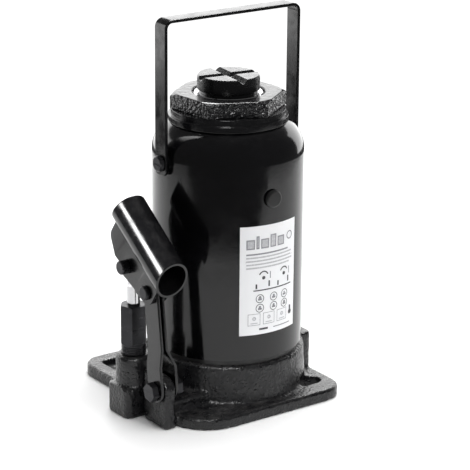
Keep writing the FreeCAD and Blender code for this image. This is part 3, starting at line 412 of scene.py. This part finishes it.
def eased_pieces():
    """The machined and pressed nodes, each with the width its edges are eased by, in mm."""
    sizes = {"bail_handle": 0.9, "link_strap_outer": 0.8, "link_strap_inner": 0.8,
             "socket_yoke_outer": 0.7, "socket_yoke_inner": 0.7, "handle_socket": 0.9,
             "plunger_pin": 0.5, "link_pin": 0.5, "fulcrum_bolt": 0.6, "fulcrum_nut": 0.6,
             "bail_screws": 0.4, "bail_bosses": 0.3, "saddle": 1.1, "pump_cylinder": 0.5,
             "release_screw": 0.5, "plunger_pin_clip": 0.3, "link_pin_clip": 0.3,
             "pump_plunger": 0.3}
    for node, width in sizes.items():
        rounded(node, width)
    rounded("neck_ring", 0.5, material=RING_ENAMEL)
    rounded("filler_plug", 1.5, segments=5)


def neck_thread():
    """The pump cylinder's thread, showing between the base and its hexagon."""
    low, high, pitch = 56.4, 64.2, 1.5
    crest, root, inside = 11.25, 10.62, 10.2
    root_end, crest_start, crest_end, thread_end = 0.3, 0.65, 0.85, 1.2
    turns = int((high - low) / pitch)
    profile = [(inside, low)]
    for turn in range(turns):
        start = low + turn * pitch
        profile += [(root, start), (root, start + root_end), (crest, start + crest_start),
                    (crest, start + crest_end), (root, start + thread_end)]
    profile.append((inside, low + turns * pitch))
    lathe("pump_thread", profile, "jack", "black_steel", (PUMP_X, 0), 64)


# ---- label print: plain bars, rings and frames, no lettering ----
def on_label(across, up):
    """A point on the label: across from its middle and up from its foot, in mm."""
    radius = TANK_RADIUS + LABEL_THICK
    angle = LABEL_CENTRE + across * MM / radius
    reach = radius + INK_THICK
    return (reach * math.cos(angle), reach * math.sin(angle), LABEL_FOOT + up * MM)


class Print:
    """One colour of the label's print, gathered into one thin curved piece."""

    def __init__(self, ink):
        self.ink, self.points, self.faces = ink, [], []

    def patch(self, corners):
        """One flat face through the corners."""
        first = len(self.points)
        self.points += [on_label(*corner) for corner in corners]
        self.faces.append(tuple(range(first, first + len(corners))))

    def bar(self, left, low, right, high):
        """A filled bar, cut into short lengths that follow the tank's curve."""
        longest = 2.5
        pieces = max(1, math.ceil((right - left) / longest))
        for k in range(pieces):
            a = left + (right - left) * k / pieces
            b = left + (right - left) * (k + 1) / pieces
            self.patch([(a, low), (b, low), (b, high), (a, high)])

    def frame(self, left, low, right, high, line):
        """A rectangle drawn with a line of one width."""
        self.bar(left, low, right, low + line)
        self.bar(left, high - line, right, high)
        self.bar(left, low + line, left + line, high - line)
        self.bar(right - line, low + line, right, high - line)

    def ring(self, across, up, outer, inner, steps=28, start=0.0, sweep=360.0):
        """A ring, or an arc of one; with no inner radius it is a filled disk."""
        for k in range(steps):
            a, b = (math.radians(start + sweep * (k + extra) / steps) for extra in (0, 1))
            self.patch([(across + reach * math.cos(turn), up + reach * math.sin(turn))
                        for reach, turn in ((inner, a), (outer, a), (outer, b), (inner, b))])

    def done(self):
        """Makes the piece, fixed to the jack."""
        mesh = bpy.data.meshes.new(self.ink)
        mesh.from_pydata(self.points, [], self.faces)
        mesh.shade_smooth()
        piece = bpy.data.objects.new(f"label_{self.ink}", mesh)
        return finish(piece, "jack", "label_paper", INK[self.ink])


def print_heading(grey, pale):
    """Plain blocks, a ring and five lines at the label's top. All sizes are mm."""
    foot, line = 81, 1.1
    blocks = ((-25, -17), (-15.6, -12.6), (-11, -3), (-1.4, 5), (6.6, 14.6))
    for index, (left, right) in enumerate(blocks):
        top = 93 if index % 2 else 90
        grey.frame(left, foot, right, top, line)
        pale.bar(left + line, foot + line, right - line, top - line)
    grey.ring(22, 88, 4, 3, 24)
    row_foot, row_top, pitch = 75.5, 76.9, 3.2
    for row, reach in enumerate((20, 25, 24, 26, 22)):
        (grey if row == 0 else pale).bar(-25, row_foot - pitch * row, reach, row_top - pitch * row)
    pale.bar(-26, 69.2, 27, 69.5)


def print_signs(dark, grey):
    """Two rows of round signs, under arcs, dots and bars on a ground line."""
    for across in (-8, 15):
        dark.ring(across, 55, 5, 3.8, 20, 20, 140)
        dark.ring(across, 53.4, 1.7, 0, 14)
        grey.bar(across + 6.5, 52, across + 7.4, 58.5)
        dark.bar(across - 8, 43.5, across - 6.4, 48)
        dark.bar(across + 5, 44.5, across + 6.6, 50)
    dark.bar(-18, 41.4, 25, 42.5)
    for up, swells in ((34, (1.6, 0.9, 0.0)), (25, (0.9, 0.9, 1.3))):
        for across, swell in zip((-11.5, 3, 16), swells):
            dark.ring(across, up, 4.1, 3.5, 24)
            grey.bar(across - 1.9, up - 1.6, across + 1.9, up + 0.2)
            grey.ring(across, up + 1.1, 0.8 + 0.4 * swell, 0, 12)


def print_foot(dark, grey, pale):
    """Three framed boxes, a small weight sign and two lines at the label's foot."""
    for left in (-23, -8, 7):
        grey.frame(left, 9, left + 12, 20, 0.4)
        pale.ring(left + 6, 15.4, 1.9, 0.6, 14)
        pale.bar(left + 2.5, 10.6, left + 9.5, 11.4)
    dark.ring(24.3, 14.2, 2.3, 0, 16)
    dark.bar(23.2, 15.8, 25.4, 20.5)
    dark.bar(-12, 4, -3, 5.8)
    grey.bar(3, 4.3, 24, 5.2)


def label_print():
    """The label's print in three inks."""
    dark, grey, pale = Print("ink_dark"), Print("ink_grey"), Print("ink_pale")
    print_heading(grey, pale)
    print_signs(dark, grey)
    print_foot(dark, grey, pale)
    for ink in (dark, grey, pale):
        ink.done()


# ---- studio ----
def add_camera():
    """A long lens, aimed a little down at the jack from its pump side."""
    yaw, pitch, roll = (math.radians(angle) for angle in (CAMERA_YAW, CAMERA_PITCH, CAMERA_ROLL))
    data = bpy.data.cameras.new("camera")
    data.sensor_width = 36
    data.lens = 157.2
    camera = bpy.data.objects.new("camera", data)
    bpy.context.collection.objects.link(camera)
    place = Vector((0.007, -1.789, 0.733))
    camera.location = Matrix.Rotation(yaw, 3, "Z") @ place
    turn = Matrix.Rotation(yaw, 3, "Z") @ Matrix.Rotation(math.pi / 2 - pitch, 3, "X")
    camera.rotation_euler = (turn @ Matrix.Rotation(roll, 3, "Z")).to_euler()
    data.clip_end = 50
    bpy.context.scene.camera = camera


def plain_light_material(name, strength):
    """An even white glow."""
    material = bpy.data.materials.new(name)
    material.use_nodes = True
    tree = material.node_tree
    tree.nodes.clear()
    glow = tree.nodes.new("ShaderNodeEmission")
    glow.inputs["Strength"].default_value = strength
    out = tree.nodes.new("ShaderNodeOutputMaterial")
    tree.links.new(glow.outputs[0], out.inputs["Surface"])
    return material


def stage_mesh(name, points, faces, material):
    """A piece of the studio, which is no part of the jack."""
    mesh = bpy.data.meshes.new(name)
    mesh.from_pydata(points, [], faces)
    mesh.shade_smooth()
    piece = bpy.data.objects.new(name, mesh)
    piece.data.materials.append(material)
    bpy.context.collection.objects.link(piece)
    return piece


def wall(name, radius, low, high, start, end, material, steps=48):
    """A curved upright screen round the jack, between two directions in degrees."""
    points = []
    for k in range(steps + 1):
        angle = math.radians(start + (end - start) * k / steps)
        points += [(radius * math.cos(angle), radius * math.sin(angle), z) for z in (low, high)]
    faces = [(2 * k, 2 * k + 2, 2 * k + 3, 2 * k + 1) for k in range(steps)]
    return stage_mesh(name, points, faces, material)


def add_floor():
    """A pale floor. It ends near the jack towards the camera, which leaves the tank's upper half dark,
    and reaches further at the sides and back. Metres and degrees."""
    made = Surface("floor", (0.93, 0.93, 0.93), 0.6)
    made.vary_rough(6.0, 0.5, 0.7)
    made.bump(made.noise(60.0, 3.0), 0.0002, 0.2)
    steps, near, wide, level = 144, 0.52, 0.84, -0.0006
    near_to, widens_over = 40, 24
    points = []
    for k in range(steps):
        turn = 360 * k / steps
        aside = min(turn, 360 - turn)
        reach = near + (wide - near) * min(1, max(0, (aside - near_to) / widens_over))
        angle = math.radians(TOWARDS_CAMERA + turn)
        points.append((reach * math.cos(angle), reach * math.sin(angle), level))
    stage_mesh("floor", points, [tuple(range(steps))], made.material)


def add_surround():
    """A white surround that only the camera sees, and the screen behind that the gloss sees."""
    bpy.ops.mesh.primitive_ico_sphere_add(subdivisions=4, radius=12)
    dome = bpy.context.object
    dome.name = "surround"
    dome.data.materials.append(plain_light_material("surround", 1.15))
    dome.visible_glossy = dome.visible_diffuse = dome.visible_transmission = dome.visible_shadow = False
    back = wall("screen_behind", 1.3, 0.0, 0.86, TOWARDS_CAMERA + 126, TOWARDS_CAMERA + 258,
                plain_light_material("screen_behind", 2.6))
    back.visible_camera = False


def add_lamp(name, place, size, power, glossy=True, only=(), diffuse=True):
    """A soft disk lamp aimed at the jack; with names in only, it lights just those pieces."""
    data = bpy.data.lights.new(name, "AREA")
    data.shape = "DISK"
    data.size = size
    data.energy = power
    lamp = bpy.data.objects.new(name, data)
    bpy.context.collection.objects.link(lamp)
    lamp.location = place
    lamp.rotation_euler = (-Vector(place)).to_track_quat("-Z", "Y").to_euler()
    lamp.visible_glossy = glossy
    lamp.visible_diffuse = diffuse
    if only:
        receivers = bpy.data.collections.new(f"{name}_receivers")
        for piece in only:
            receivers.objects.link(bpy.data.objects[piece])
        lamp.light_linking.receiver_collection = receivers
    lamp.visible_camera = False


def add_world():
    """A faint even light from all round."""
    world = bpy.data.worlds.new("studio")
    world.use_nodes = True
    world.node_tree.nodes["Background"].inputs["Color"].default_value = (1, 1, 1, 1)
    world.node_tree.nodes["Background"].inputs["Strength"].default_value = 0.1
    bpy.context.scene.world = world


def add_studio():
    """Camera, floor, surround and lamps. Two lamps stand for small reflections on single pieces."""
    add_camera()
    add_world()
    add_floor()
    add_surround()
    add_lamp("overhead", (0.2, -0.2, 2.4), size=2.2, power=62, glossy=False)
    add_lamp("overhead_gloss", (0.8, 1.1, 2.1), size=1.1, power=66, diffuse=False)
    add_lamp("grain_key", (-1.0, -1.2, 1.2), size=0.6, power=22,
             only=("top_nut_cast", "base_casting_cast", "neck_ring_eased"))
    add_lamp("tube_key", (-1.5, 0.1, 0.95), size=0.75, power=46, only=("handle_socket_eased",))
    add_lamp("front_fill", (0.5, -2.0, 1.1), size=1.4, power=22, glossy=False)
    bpy.context.scene.view_settings.view_transform = "Standard"


dress_cad_nodes()
eased_pieces()
cast("base_casting", voxel=1.5, lump=0.5, lump_size=9.0, grain=0.35, grain_size=2.2)
cast("top_nut", voxel=0.8, lump=0.25, lump_size=6.0, grain=0.22, grain_size=1.6)
neck_thread()
label_print()
add_studio()
